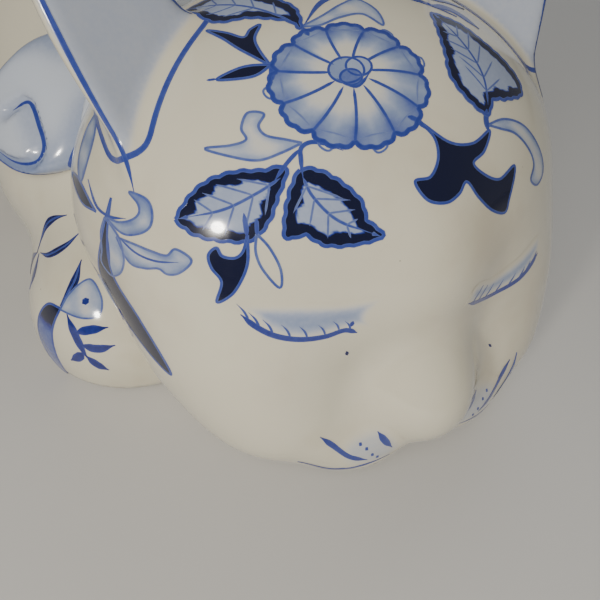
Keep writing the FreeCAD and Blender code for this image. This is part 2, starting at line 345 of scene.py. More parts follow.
# Noise scales are cycles to a metre.
CLOUD_SCALE = 16.0
FINE_SCALE = 90.0
RIPPLE_SCALE = 55.0
SPECK_SCALE = 85.0
SPECK_RARITY = 0.62
SPECK_SIZE = 0.085
IRON_BROWN = (0.10, 0.065, 0.04)
BRUSH_GRAIN_SCALE = 700.0
BRUSH_CLOUD_SCALE = 160.0
# Cobalt by depth, from a thin wash to a blue-black fill.
COBALT_STOPS = (
    (0.0, (0.58, 0.61, 0.66)),
    (0.3, (0.22, 0.28, 0.44)),
    (0.55, (0.045, 0.075, 0.32)),
    (0.75, (0.014, 0.026, 0.22)),
    (1.0, (0.004, 0.006, 0.03)),
)
COVER_DEPTH = 0.22


def make_fired_glaze():
    """The glaze itself: its cloudy warm white, brown stains, iron specks and fine ripple."""
    wires, way_in, way_out = effect(
        "fired_glaze",
        (("Glaze", COLOUR, (0.8, 0.8, 0.8, 1)), ("Stain", COLOUR, (0.5, 0.4, 0.3, 1)),
         ("Staining", NUMBER, 0.3)),
        (("Colour", COLOUR), ("Roughness", NUMBER), ("Height", NUMBER)),
    )
    place = wires.add("ShaderNodeTexCoord").outputs["Object"]
    cloud = wires.noise(place, CLOUD_SCALE, 3.0)
    fine = wires.noise(place, FINE_SCALE, 4.0)
    mottle = wires.sum("ADD", wires.sum("MULTIPLY", cloud, 0.7), wires.sum("MULTIPLY", fine, 0.3))
    patches = wires.ramp(mottle, 0.48, 0.72)
    share = wires.sum("MULTIPLY", patches, way_in.outputs["Staining"])
    stained = wires.mix(share, way_in.outputs["Glaze"], way_in.outputs["Stain"])
    cells = wires.add("ShaderNodeTexVoronoi")
    wires.link(place, cells.inputs["Vector"])
    cells.inputs["Scale"].default_value = SPECK_SCALE
    chance = wires.add("ShaderNodeSeparateColor")
    wires.link(cells.outputs["Color"], chance.inputs["Color"])
    radius = wires.sum("MULTIPLY", wires.sum("SUBTRACT", chance.outputs[0], SPECK_RARITY), SPECK_SIZE)
    speck = wires.ramp(wires.sum("SUBTRACT", cells.outputs["Distance"], radius), -0.008, 0.006, 0.85, 0.0)
    specked = wires.mix(speck, stained, (*IRON_BROWN, 1))
    wires.link(specked, way_out.inputs["Colour"])
    wires.link(wires.ramp(fine, 0.3, 0.7, 0.10, 0.20), way_out.inputs["Roughness"])
    ripple = wires.sum("ADD", wires.noise(place, RIPPLE_SCALE, 1.0), wires.sum("MULTIPLY", fine, 0.12))
    wires.link(ripple, way_out.inputs["Height"])
    return wires.tree


def make_cobalt_brushwork():
    """Cobalt on a glaze, from a pale wash at 0.1 to a blue-black fill at 1."""
    wires, way_in, way_out = effect(
        "cobalt_brushwork",
        (("Ground", COLOUR, (0.8, 0.8, 0.8, 1)), ("Cobalt", NUMBER, 0.0), ("Streaks", NUMBER, 0.3)),
        (("Colour", COLOUR),),
    )
    place = wires.add("ShaderNodeTexCoord").outputs["Object"]
    grain = wires.sum("MULTIPLY", wires.noise(place, BRUSH_GRAIN_SCALE, 3.0), 0.6)
    cloud = wires.sum("MULTIPLY", wires.noise(place, BRUSH_CLOUD_SCALE, 2.0), 0.4)
    grain = wires.sum("ADD", grain, cloud)
    swing = wires.sum("MULTIPLY", wires.sum("SUBTRACT", grain, 0.5), way_in.outputs["Streaks"])
    depth = wires.sum("MULTIPLY_ADD", swing, way_in.outputs["Cobalt"], way_in.outputs["Cobalt"])
    blues = wires.add("ShaderNodeValToRGB")
    while len(blues.color_ramp.elements) < len(COBALT_STOPS):
        blues.color_ramp.elements.new(0.5)
    for element, (level, blue) in zip(blues.color_ramp.elements, COBALT_STOPS):
        element.position = level
        element.color = (*blue, 1)
    wires.link(depth, blues.inputs["Fac"])
    cover = wires.ramp(depth, 0.0, COVER_DEPTH)
    wires.link(wires.mix(cover, way_in.outputs["Ground"], blues.outputs["Color"]), way_out.inputs["Colour"])
    return wires.tree


fired_glaze = make_fired_glaze()
cobalt_brushwork = make_cobalt_brushwork()


RIPPLE_HEIGHT = 0.0004


def glazed(name, glaze, stain, staining, streaks, ripple):
    """A glossy glaze over porcelain, with whatever cobalt its mesh carries."""
    made = bpy.data.materials.new(name)
    made.use_nodes = True
    wires = Wiring(made.node_tree)
    shader = made.node_tree.nodes["Principled BSDF"]
    ground = wires.add("ShaderNodeGroup", node_tree=fired_glaze)
    ground.inputs["Glaze"].default_value = (*glaze, 1)
    ground.inputs["Stain"].default_value = (*stain, 1)
    ground.inputs["Staining"].default_value = staining
    paint = wires.add("ShaderNodeGroup", node_tree=cobalt_brushwork)
    paint.inputs["Streaks"].default_value = streaks
    carried = wires.add("ShaderNodeAttribute", attribute_name="cobalt")
    wires.link(ground.outputs["Colour"], paint.inputs["Ground"])
    wires.link(carried.outputs["Fac"], paint.inputs["Cobalt"])
    wires.link(paint.outputs["Colour"], shader.inputs["Base Color"])
    wires.link(ground.outputs["Roughness"], shader.inputs["Roughness"])
    bump = wires.add("ShaderNodeBump")
    bump.inputs["Strength"].default_value = ripple
    bump.inputs["Distance"].default_value = RIPPLE_HEIGHT
    wires.link(ground.outputs["Height"], bump.inputs["Height"])
    wires.link(bump.outputs["Normal"], shader.inputs["Normal"])
    shader.inputs["IOR"].default_value = 1.52
    shader.inputs["Coat Weight"].default_value = 0.6
    shader.inputs["Coat Roughness"].default_value = 0.04
    return made


WARM_WHITE = (0.66, 0.62, 0.49)
TEA_STAIN = (0.52, 0.44, 0.31)
white_glaze = glazed("white_glaze", WARM_WHITE, TEA_STAIN, 0.45, 0.3, 0.3)


TRUNK_STEP = 2.6
SEAM_DEPTH = 1.5
# How far a grid of samples reaches past the CAD piece it stands in for.
WIDE_MARGIN = 9
NARROW_MARGIN = 5


def box_of(node, margin):
    low, high = (np.array(corner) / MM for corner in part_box(node))
    return low - margin, high + margin


def body_solid(points):
    clear_of_head = -(head_skin(points) + SEAM_DEPTH)
    return np.maximum(above_floor(points, trunk_skin(points)), clear_of_head)


body_points, body_faces = sculpt(body_solid, *box_of("body_shell", WIDE_MARGIN), TRUNK_STEP)
piece("trunk_casting", body_points, body_faces, white_glaze,
      unit(gradient(body_solid, body_points)), replaces=["body_shell"])

# ---- Head ----
# A second hollow casting, stuck to the trunk with slip: a broad round skull with full
# cheeks, a small blunt nose and two low muzzle pads. Its eyes are only painted.

HEAD_STEP = 1.7
head_points, head_faces = sculpt(head_skin, *box_of("head_shell", NARROW_MARGIN), HEAD_STEP)
piece("head_casting", head_points, head_faces, white_glaze,
      unit(gradient(head_skin, head_points)), replaces=["head_shell"])

# ---- Ears ----
# Two pricked ears, pressed solid and luted to the skull. Each is a three-sided point
# with swollen backs and a nearly flat inner face, which carries a pale cobalt wash.

# Corners of the left ear, measured like the head: out, towards the nose, up.
# SUNK is how far every luted piece goes on under its neighbour's skin.
EAR_TIP = np.array([80.0, -24.0, 104.0])
EAR_FRONT = np.array([64.0, 18.0, 35.0])
EAR_CROWN = np.array([38.0, -12.0, 62.0])
EAR_REAR = np.array([56.0, -36.0, 38.0])
EAR_ROUND = 6
EAR_FILLET = 5
EAR_DISH = 0.5
EAR_SWELL = -4
EAR_PUSH_REACH = 18
EAR_TIP_RUN = 1.08
EAR_ROOT_RUN = 0.3
EAR_WASH = 0.17
EAR_STEP = 1.3
SUNK = 3.2
RIM_RUN = 1.7
RIM_DIP = 0.45

ear_base = (EAR_FRONT + EAR_CROWN + EAR_REAR) / 3
ear_peak = ear_base + (EAR_TIP - ear_base) * EAR_TIP_RUN
ear_middle = (ear_base + ear_peak) / 2


def ear_face(one, two, three, push):
    """A flat face of an ear: outward direction, one corner, middle and swelling."""
    outward = unit(np.cross(two - one, three - one))
    if outward @ (ear_middle - one) > 0:
        outward = -outward
    return outward, one, (one + two + three) / 3, push


EAR_FACES = (
    ear_face(ear_peak, EAR_FRONT, EAR_CROWN, EAR_DISH),
    ear_face(ear_peak, EAR_CROWN, EAR_REAR, EAR_SWELL),
    ear_face(ear_peak, EAR_REAR, EAR_FRONT, EAR_SWELL),
)


def ear_levels(points):
    """How far points are outside each face of an ear, the inner face first."""
    local = head_local(points)
    levels = []
    for outward, corner, middle, push in EAR_FACES:
        near = ((local - middle) ** 2).sum(-1) / (2 * EAR_PUSH_REACH ** 2)
        levels.append((local - corner) @ outward + push * np.exp(-near))
    return levels


def ear_skin(points):
    inner, crown, rear = ear_levels(points)
    root = ear_base + (ear_base - ear_peak) * EAR_ROOT_RUN
    below = (root - head_local(points)) @ unit(ear_peak - ear_base)
    return np.maximum(shared(shared(inner, crown, EAR_ROUND), rear, EAR_ROUND), below)


def eared_head(points):
    return join(head_skin(points), ear_skin(points), EAR_FILLET)


def smooth(values, low, high):
    share = np.clip((values - low) / (high - low), 0, 1)
    return share * share * (3 - 2 * share)


def grown_from(host, branch, fillet):
    """A branch with its own fillet onto its host, whose rim dips just under the host's skin."""
    rim = fillet * RIM_RUN
    dipped = join(host, branch, fillet) + RIM_DIP * smooth(branch, fillet, rim)
    return np.maximum(np.maximum(dipped, -(host + SUNK)), branch - rim)


def ear_solid(points):
    return grown_from(head_skin(points), ear_skin(points), EAR_FILLET)


def pair(names, points, faces, normals, material, nodes, cobalt=None):
    """The left piece, and its mirror image on the right."""
    piece(names[0], points, faces, material, normals, cobalt, nodes[0])
    flip = np.array([-1, 1, 1])
    piece(names[1], points * flip, faces[:, ::-1], material, normals * flip, cobalt, nodes[1])


ear_points, ear_faces = sculpt(ear_solid, *box_of("left_ear", WIDE_MARGIN), EAR_STEP)
inner, crown, rear = ear_levels(ear_points)
ear_wash = EAR_WASH * smooth(inner - np.maximum(crown, rear), -2, 1)
ear_wash = ear_wash * smooth(head_skin(ear_points), 1, 3)
pair(("left_ear_casting", "right_ear_casting"), ear_points, ear_faces,
     unit(gradient(ear_solid, ear_points)), white_glaze,
     (["left_ear"], ["right_ear"]), ear_wash)

# ---- Forelegs and hind paws ----
# Solid press-moulded legs, tucked under the chest and luted on with slip. Two shallow
# grooves in each paw part its toes.

FOREARM = ((47, -86, 13), (20, 42, 20))
FOREARM_TURN = 24
FOREPAW = ((27, -116, 10), (18, 23, 14))
HIND_PAW = ((90, 76, 9), (20, 32, 14))
LEG_FILLET = 6
TOE_SPREAD = 6
TOE_GROOVE = (1.5, 12, 9)
LEG_STEP = 1.8
LEG_BEND_FILLET = 12
TOE_ROUND = 3


def turned(points, degrees):
    """Points turned about the upright axis."""
    cosine = math.cos(math.radians(degrees))
    sine = math.sin(math.radians(degrees))
    return points @ np.array([[cosine, sine, 0], [-sine, cosine, 0], [0, 0, 1]])


def toed(points, solid, paw):
    """Two grooves down the front of a paw."""
    centre, half = paw
    for side in (-1, 1):
        place = (centre[0] + side * TOE_SPREAD, centre[1] - half[1], centre[2] - 1)
        solid = shared(solid, -ellipsoid(points, place, TOE_GROOVE), TOE_ROUND)
    return solid


def foreleg_skin(points):
    near = folded(points)
    forearm = ellipsoid(turned(near - FOREARM[0], FOREARM_TURN), (0, 0, 0), FOREARM[1])
    leg = join(forearm, ellipsoid(near, *FOREPAW), LEG_BEND_FILLET)
    return toed(near, leg, FOREPAW)


def foreleg_solid(points):
    leg = grown_from(trunk_skin(points), foreleg_skin(points), LEG_FILLET)
    return above_floor(points, np.maximum(leg, -(head_skin(points) + SUNK)))


def hind_paw_skin(points):
    near = folded(points)
    return toed(near, ellipsoid(near, *HIND_PAW), HIND_PAW)


def hind_paw_solid(points):
    return above_floor(points, grown_from(trunk_skin(points), hind_paw_skin(points), LEG_FILLET))


for word, solid in (("foreleg", foreleg_solid), ("hind_paw", hind_paw_solid)):
    leg_points, leg_faces = sculpt(solid, *box_of("left_" + word, WIDE_MARGIN), LEG_STEP)
    pair(("left_%s_pressing" % word, "right_%s_pressing" % word), leg_points, leg_faces,
         unit(gradient(solid, leg_points)), white_glaze,
         (["left_" + word], ["right_" + word]))

# ---- Tail ----
# A tapered roll of clay, laid on the floor round the left haunch and luted along its
# inner side. Three cobalt bands and a dark tip are brushed on it.

TAIL_PATH = ((14, 180), (66, 172), (102, 138), (112, 98))
TAIL_ROOT_RADIUS = 16
TAIL_TIP_RADIUS = 9
TAIL_SINK = 0.85
TAIL_STEP = 1.9
TAIL_SPANS = 18
BAND_SOFT = 0.01
# Where each band starts and stops along the tail, and its depth of cobalt.
TAIL_BANDS = ((0.90, 1.1, 0.85), (0.80, 0.82, 0.6), (0.70, 0.72, 0.5))


def curve_through(points, count):
    """A smooth line through points, read at count even steps of its parameter."""
    points = np.asarray(points, float)
    line = np.concatenate([[2 * points[0] - points[1]], points, [2 * points[-1] - points[-2]]])
    spans = len(points) - 1
    steps = np.linspace(0, spans, count)
    first = np.minimum(steps.astype(int), spans - 1)
    share = (steps - first)[:, None]
    a, b, c, d = line[first], line[first + 1], line[first + 2], line[first + 3]
    return 0.5 * (2 * b + (c - a) * share + (2 * a - 5 * b + 4 * c - d) * share ** 2
                  + (3 * b - a - 3 * c + d) * share ** 3)


tail_line = curve_through(TAIL_PATH, TAIL_SPANS + 1)
tail_radii = np.linspace(TAIL_ROOT_RADIUS, TAIL_TIP_RADIUS, TAIL_SPANS + 1)
tail_line = np.column_stack([tail_line, tail_radii * TAIL_SINK])


def rope(points, line, radii):
    """Distance outside a round rope, and how far along it each point lies, 0 to 1."""
    best = np.full(points.shape[:-1], 1e9)
    along = np.zeros(points.shape[:-1])
    spans = len(line) - 1
    for i in range(spans):
        run = line[i + 1] - line[i]
        share = np.clip(((points - line[i]) @ run) / (run @ run), 0, 1)
        away = np.linalg.norm(points - line[i] - share[..., None] * run, axis=-1)
        away = away - (radii[i] + (radii[i + 1] - radii[i]) * share)
        nearer = away < best
        along = np.where(nearer, (i + share) / spans, along)
        best = np.minimum(best, away)
    return best, along


def tail_solid(points):
    paw = hind_paw_skin(points)
    roll = grown_from(trunk_skin(points), rope(points, tail_line, tail_radii)[0], LEG_FILLET)
    return above_floor(points, np.maximum(roll, -(paw + SUNK)))


tail_points, tail_faces = sculpt(tail_solid, *box_of("tail", WIDE_MARGIN), TAIL_STEP)
tail_share = rope(tail_points, tail_line, tail_radii)[1]
tail_cobalt = np.zeros(len(tail_points))
for start, stop, depth in TAIL_BANDS:
    begun = smooth(tail_share, start - BAND_SOFT, start + BAND_SOFT)
    ended = smooth(tail_share, stop - BAND_SOFT, stop + BAND_SOFT)
    tail_cobalt = np.maximum(tail_cobalt, depth * (begun * (1 - ended)))
piece("tail_roll", tail_points, tail_faces, white_glaze,
      unit(gradient(tail_solid, tail_points)), tail_cobalt, ["tail"])

# ---- Foot ----
# The flat slab that closes the underside. Its face is left bare of glaze where it sat
# on the kiln shelf, so it is matt, slightly gritty and browner in cloudy patches.

BARE_CLAY = (0.62, 0.55, 0.45)
KILN_BROWN = (0.36, 0.25, 0.16)
bare_foot = bpy.data.materials.new("bare_foot")
bare_foot.use_nodes = True
foot = Wiring(bare_foot.node_tree)
foot_shader = bare_foot.node_tree.nodes["Principled BSDF"]
foot_place = foot.add("ShaderNodeTexCoord").outputs["Object"]
grit = foot.noise(foot_place, 900.0, 4.0)
cloud = foot.noise(foot_place, 22.0, 3.0)
clay = foot.mix(foot.ramp(cloud, 0.45, 0.75, 0.0, 0.6), (*BARE_CLAY, 1), (*KILN_BROWN, 1))
gritty = foot.mix(foot.ramp(grit, 0.62, 0.72, 0.0, 0.5), clay, (*KILN_BROWN, 1))
foot.link(gritty, foot_shader.inputs["Base Color"])
foot.link(foot.ramp(cloud, 0.3, 0.7, 0.75, 0.92), foot_shader.inputs["Roughness"])
foot_bump = foot.add("ShaderNodeBump")
foot_bump.inputs["Strength"].default_value = 0.5
foot_bump.inputs["Distance"].default_value = 0.0003
foot.link(grit, foot_bump.inputs["Height"])
foot.link(foot_bump.outputs["Normal"], foot_shader.inputs["Normal"])
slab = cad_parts["base_slab"]
slab.data.materials.clear()
slab.data.materials.append(bare_foot)

# ---- Neck ribbon and bow ----
# A ribbon modelled in clay: a band round the neck, a knot on the nape and two drooping
# loops. All of it is washed pale blue, and the wash deepens towards each neighbouring piece
# as painted shade where they meet.

RIBBON_BLUE = (0.52, 0.57, 0.66)
ribbon_glaze = glazed("ribbon_glaze", RIBBON_BLUE, TEA_STAIN, 0.12, 0.5, 0.3)
RIBBON_ALONG = -37
RIBBON_HALF_WIDTH = 9
RIBBON_THICK = 4
RIBBON_EDGE = 3
KNOT = ((0, -24, 103), (15, 13, 11))
LOOP = ((38, -6, 99), (34, 20, 13))
LOOP_DROOP = 22
LOOP_BAND = 6
LOOP_EYE_SHIFT = 2
CREASE = 2.2
BOW_STEP = 1.3


def band_skin(points):
    across = np.abs(points[..., 1] - RIBBON_ALONG) - RIBBON_HALF_WIDTH
    return shared(head_skin(points) - RIBBON_THICK, across, RIBBON_EDGE)


def under_castings(points):
    """Positive where points lie too deep under the head or the trunk to be worth making."""
    return np.maximum(-(head_skin(points) + SUNK), -(trunk_skin(points) + SUNK))


def band_solid(points):
    return np.maximum(band_skin(points), under_castings(points))


def knot_skin(points):
    """A rounded knot with three soft creases down it."""
    knot = ellipsoid(points, *KNOT)
    top = np.array(KNOT[0]) + (0, 0, KNOT[1][2])
    for shift in (-6, 0, 6):
        ends = np.array([[shift, -14, -4], [shift * 0.7, 0, 1], [shift, 14, -4]]) + top
        crease = rope(points, ends, np.full(3, CREASE * 0.6))[0]
        knot = shared(knot, -crease, 2.5)
    return knot


def knot_solid(points):
    knot = np.maximum(knot_skin(points), under_castings(points))
    return np.maximum(knot, -(band_skin(points) + SUNK))


def loop_skin(points):
    """A drooping loop of ribbon with an open eye and gathers that run out from the knot."""
    away = folded(points) - np.array(LOOP[0], float)
    cosine = math.cos(math.radians(LOOP_DROOP))
    sine = math.sin(math.radians(LOOP_DROOP))
    local = away @ np.array([[cosine, 0, sine], [0, 1, 0], [-sine, 0, cosine]])
    half = np.array(LOOP[1], float)
    hole = (half[0] - LOOP_BAND, 2 * half[1], half[2] - LOOP_BAND)
    eye = ellipsoid(local, (LOOP_EYE_SHIFT, 0, 0), hole)
    loop = shared(ellipsoid(local, (0, 0, 0), half), -eye, 3)
    for side in (-1, 0, 1):
        ends = np.array([[-30, side * 4, 7], [-14, side * 7, 13], [4, side * 9, 14.5]])
        gather = rope(local, ends, np.array([CREASE, CREASE, 0.5]))[0]
        loop = shared(loop, -gather, 3)
    return loop


def loop_solid(points):
    loop = np.maximum(loop_skin(points), under_castings(points))
    return np.maximum(loop, -(knot_skin(points) + SUNK))


def wash_with_painted_shade(distance, pale, dark, reach):
    """A pale wash that deepens towards a neighbouring piece, as painted shade where they meet."""
    return dark + (pale - dark) * smooth(distance, 0, reach)


# Each part's pale wash darkens towards the piece it meets: painted shade at the joins.
band_points, band_faces = sculpt(band_solid, *box_of("neck_ribbon", NARROW_MARGIN), BOW_STEP)
piece("neck_band", band_points, band_faces, ribbon_glaze,
      unit(gradient(band_solid, band_points)),
      wash_with_painted_shade(trunk_skin(band_points), 0.05, 0.22, 8), ["neck_ribbon"])
knot_points, knot_faces = sculpt(knot_solid, *box_of("bow_knot", NARROW_MARGIN), BOW_STEP)
piece("knot_pressing", knot_points, knot_faces, ribbon_glaze,
      unit(gradient(knot_solid, knot_points)),
      wash_with_painted_shade(band_skin(knot_points), 0.06, 0.28, 6), ["bow_knot"])
loop_points, loop_faces = sculpt(loop_solid, *box_of("bow_left_loop", NARROW_MARGIN), BOW_STEP)
pair(("left_loop_pressing", "right_loop_pressing"), loop_points, loop_faces,
     unit(gradient(loop_solid, loop_points)), ribbon_glaze,
     (["bow_left_loop"], ["bow_right_loop"]), wash_with_painted_shade(knot_skin(loop_points), 0.05, 0.3, 12))

# ---- Ribbon streamers ----
# The two free ends, modelled as thick flat relief on the shoulders. Each flares to a
# round end with a rolled fold scored into it. Its pale wash deepens towards its edge and is
# darkened round the scored fold as painted shade; its fine blue edge line comes later.

STREAMER_THICK = 7
STREAMER_ROUND = 6
STREAMER_CORNERS = ((-3, 97), (-32, 97), (-43, 66), (-32, 57), (8, 57))
ROLL_LINE = ((-15, 75), (-19, 79), (-27, 74), (-32, 69), (-32, 64), (-25, 61), (-12, 61))
ROLL_DEPTH = 2.2
STREAMER_STEP = 1.5


def streamer_outline(points):
    """Distance outside the strip's outline, seen from the side."""
    away = np.full(points.shape[:-1], -1e3)
    for start, end in zip(STREAMER_CORNERS, STREAMER_CORNERS[1:] + STREAMER_CORNERS[:1]):
        run = unit(np.subtract(end, start).astype(float))
        edge = (points[..., 1] - start[0]) * run[1] - (points[..., 2] - start[1]) * run[0]
        away = shared(away, edge, STREAMER_ROUND)
    return away


def roll_line_distance(points):
    line = np.column_stack([np.zeros(len(ROLL_LINE)), np.array(ROLL_LINE, float)])
    line = curve_through(line, 16)
    flat = points * np.array([0, 1, 1])
    return rope(flat, line, np.zeros(len(line)))[0]


def streamer_skin(points):
    raised = trunk_skin(points) - STREAMER_THICK
    strip = shared(raised, streamer_outline(points), STREAMER_ROUND)
    scored = np.hypot(roll_line_distance(points), raised) - ROLL_DEPTH
    return shared(strip, -scored, 2)


def streamer_solid(points):
    return np.maximum(streamer_skin(points), under_castings(points))


streamer_points, streamer_faces = sculpt(
    streamer_solid, *box_of("ribbon_left_streamer", NARROW_MARGIN), STREAMER_STEP)
streamer_wash_and_shade = 0.05 + 0.20 * smooth(streamer_outline(streamer_points), -9, 0)
# Painted shade: the wash darkens round the scored fold.
streamer_wash_and_shade += 0.15 * (1 - smooth(roll_line_distance(streamer_points), 0, 7))
pair(("left_streamer_relief", "right_streamer_relief"), streamer_points, streamer_faces,
     unit(gradient(streamer_solid, streamer_points)), ribbon_glaze,
     (["ribbon_left_streamer"], ["ribbon_right_streamer"]), streamer_wash_and_shade)

# ---- Ear outlines ----
# The first brushwork: a firm royal blue line round the root of each ear and down its
# edges. All brushwork is cobalt laid under the glaze, so it stands barely proud.

cobalt_paint = glazed("cobalt_paint", WARM_WHITE, TEA_STAIN, 0.45, 0.5, 0.25)
WASH_LIFT = 0.06
FILL_LIFT = 0.10
LINE_LIFT = 0.14
UNDERCUT = 0.30
ROYAL = 0.62
NAVY = 1.45
LAYER = 0.002
EDGE_PALER = 0.82
BRUSH = np.array([-1.0, -0.45, 0.45, 1.0])


def across_line(line):
    """Unit directions across a flat line, to the left of its run."""
    run = unit(np.gradient(line, axis=0))
    return np.column_stack([-run[:, 1], run[:, 0]])


def run_length(path):
    return np.linalg.norm(np.diff(np.asarray(path, float), axis=0), axis=1).sum()


def closed(rim):
    return np.concatenate([rim, rim[:1]])


def drawn_out(width, rows, ends):
    """Half widths along a brush line, full in the middle and fine at its ends."""
    share = np.linspace(0, 1, rows)
    half = np.full(rows, width / 2)
    for away, run in ((share, ends[0]), (1 - share, ends[1])):
        if run > 0:
            half = half * (0.12 + 0.88 * smooth(away, 0, run))
    return half[:, None]


def edge_distance(points, rim):
    """How far flat points are from the nearest part of a closed rim."""
    start, run = rim, np.roll(rim, -1, axis=0) - rim
    away = points[:, None] - start
    share = np.clip((away * run).sum(-1) / np.maximum((run ** 2).sum(-1), 1e-9), 0, 1)
    return np.linalg.norm(away - share[..., None] * run, axis=-1).min(1)


def within(points, rim):
    """Which flat points lie inside a closed rim."""
    start, end = rim, np.roll(rim, -1, axis=0)
    level = points[:, None, 1]
    spans = (start[:, 1] > level) != (end[:, 1] > level)
    rise = np.where(end[:, 1] == start[:, 1], 1e-9, end[:, 1] - start[:, 1])
    crossing = start[:, 0] + (level - start[:, 1]) * (end[:, 0] - start[:, 0]) / rise
    return (spans & (points[:, None, 0] < crossing)).sum(1) % 2 == 1


class Brushwork:
    """Strokes and fills, gathered in millimetres, then laid on a skin as one thin body."""

    def __init__(self):
        self.sheets = []

    def add(self, points, faces, cobalt, lift):
        self.sheets.append((points, np.asarray(faces), np.asarray(cobalt), lift + LAYER * len(self.sheets)))

    def grid(self, grid, cobalt, lift):
        """A sheet of rows by columns, each point with its own depth of cobalt."""
        rows, columns = grid.shape[:2]
        numbers = np.arange(rows * columns).reshape(rows, columns)
        quads = np.stack([numbers[:-1, :-1], numbers[1:, :-1], numbers[1:, 1:], numbers[:-1, 1:]], -1)
        depth = np.broadcast_to(cobalt, (rows, columns)).reshape(-1)
        self.add(grid.reshape(-1, grid.shape[-1]), quads.reshape(-1, 4), depth, lift)

    def stroke(self, path, width, depth=ROYAL, lift=LINE_LIFT, ends=(0.25, 0.25), step=0.9):
        """A brush line through flat points."""
        rows = max(5, int(run_length(path) / step) + 2)
        line = curve_through(path, rows)
        half = drawn_out(width, rows, ends)
        grid = line[:, None] + across_line(line)[:, None] * (half * BRUSH)[..., None]
        self.grid(grid, depth * np.array([EDGE_PALER, 1, 1, EDGE_PALER]), lift)

    def patch(self, rim, tint, lift=FILL_LIFT, grain=0.8):
        """A fill inside a closed rim. tint gives its depth from the margin and the place."""
        across, up = (np.arange(rim[:, i].min(), rim[:, i].max(), grain) for i in (0, 1))
        inner = np.stack(np.meshgrid(across, up), -1).reshape(-1, 2)
        inner = inner[within(inner, rim)]
        inner = inner[edge_distance(inner, rim) > 0.4 * grain]
        flat = [Vector(point) for point in np.concatenate([rim, inner])]
        cut = delaunay_2d_cdt(flat, [], [list(range(len(rim)))], 1, 1e-5)
        points = np.array([tuple(point) for point in cut[0]])
        margin = edge_distance(points, rim)
        self.add(points, cut[2], tint(margin, points) + 0 * margin, lift)

    def lay(self, name, place):
        """Lay the work on a skin, and list it as a piece of the object."""
        tops, outward, shades, faces = [], [], [], []
        count = 0
        for flat, sheet, cobalt, lift in self.sheets:
            points, normals = place(flat)
            total = len(points)
            corner = points[sheet[:, :3]]
            turn = np.cross(corner[:, 1] - corner[:, 0], corner[:, 2] - corner[:, 0])
            if (turn * normals[sheet[:, 0]]).sum() < 0:
                sheet = sheet[:, ::-1]
            edges = np.stack([sheet, np.roll(sheet, -1, axis=1)], -1).reshape(-1, 2)
            code = edges @ (total, 1)
            edges = edges[~np.isin(code, edges @ (1, total))]
            wall = np.column_stack([edges[:, 1], edges[:, 0], edges[:, 0] + total, edges[:, 1] + total])
            for part in (sheet, sheet[:, ::-1] + total, wall):
                faces += (part + count).tolist()
            tops += [points + normals * lift, points - normals * UNDERCUT]
            outward += [normals, normals]
            shades += [cobalt, cobalt]
            count += 2 * total
        return piece(name, np.concatenate(tops), faces, cobalt_paint,
                     np.concatenate(outward), np.concatenate(shades))


def chart(skin, middle, azimuth, elevation, reach):
    """Flat coordinates on a rounded skin: millimetres across and up it.

    They are measured along an arc of radius reach, from where a line from middle in
    that direction comes out of the skin.
    """
    middle = np.array(middle, float)
    out = heading(azimuth, elevation)
    across = unit(np.cross((0, 0, 1), out))
    up = np.cross(out, across)

    def place(flat):
        away = np.linalg.norm(flat, axis=-1, keepdims=True)
        turn = away / reach
        level = (flat[:, :1] * across + flat[:, 1:] * up) / np.maximum(away, 1e-9)
        ray = out * np.cos(turn) + level * np.sin(turn)
        far = np.full((len(flat), 1), 2.2 * reach)
        for _ in range(70):
            far = far - 0.7 * skin(middle + ray * far)[:, None]
        points = settle(skin, middle + ray * far, 2)
        return points, unit(gradient(skin, points))

    return place


def onto(skin):
    """For solid points near a skin: the nearest points of it."""

    def place(points):
        points = settle(skin, points, 8)
        return points, unit(gradient(skin, points))

    return place


def solid_stroke(work, skin, path, width, depth=ROYAL, ends=(0.1, 0.1), step=1.2):
    """A brush line along solid points, drawn across its run on the skin."""
    rows = max(6, int(run_length(path) / step) + 2)
    line = settle(skin, curve_through(path, rows), 12)
    side = unit(np.cross(unit(gradient(skin, line)), np.gradient(line, axis=0)))
    half = drawn_out(width, rows, ends)
    grid = line[:, None] + side[:, None] * (half * BRUSH)[..., None]
    work.grid(grid, depth * np.array([EDGE_PALER, 1, 1, EDGE_PALER]), LINE_LIFT)


EAR_LINE = 1.6
EAR_LINE_OUT = 2.6
RING_POINTS = 40
RING_REACH = 26
RING_SOFTENING = 3
RING_GROWTH = 1.07


def out_of_head(local):
    """From (out, towards the nose, up) of the left side to solid millimetres."""
    return skull + np.asarray(local) * np.array([1, -1, 1])


def beyond_ear(points):
    return ear_skin(points) - EAR_LINE_OUT


def ear_ring():
    """The closed line round an ear, where its fillet runs out on the skull."""
    axis = unit(out_of_head(ear_peak) - out_of_head(ear_base))
    first = unit(np.cross(axis, (0, 1, 0)))
    second = np.cross(axis, first)
    turn = np.linspace(0, 2 * math.pi, RING_POINTS + 1)[:, None]
    ring = out_of_head(ear_base) + RING_REACH * (first * np.cos(turn) + second * np.sin(turn))
    for _ in range(25):
        ring = settle(head_skin, settle(beyond_ear, ring, 1), 1)
    for _ in range(RING_SOFTENING):
        ring = (np.roll(ring[:-1], 1, axis=0) + 2 * ring[:-1] + np.roll(ring[:-1], -1, axis=0)) / 4
        ring = closed(ring)
    middle = ring.mean(0)
    return middle + (ring - middle) * RING_GROWTH


ear_ring_line = ear_ring()
for side, word in ((1, "left"), (-1, "right")):
    ear_lines = Brushwork()
    hand = np.array([side, 1, 1])
    solid_stroke(ear_lines, eared_head, ear_ring_line * hand, EAR_LINE, ends=(0, 0))
    for corner, width in ((EAR_FRONT, 1.3), (EAR_CROWN, 1.1)):
        edge = [out_of_head(ear_peak + (corner - ear_peak) * share) for share in (0.03, 0.35, 0.7, 1.02)]
        solid_stroke(ear_lines, eared_head, np.array(edge) * hand, width)
    ear_lines.lay(word + "_ear_lines", onto(eared_head))

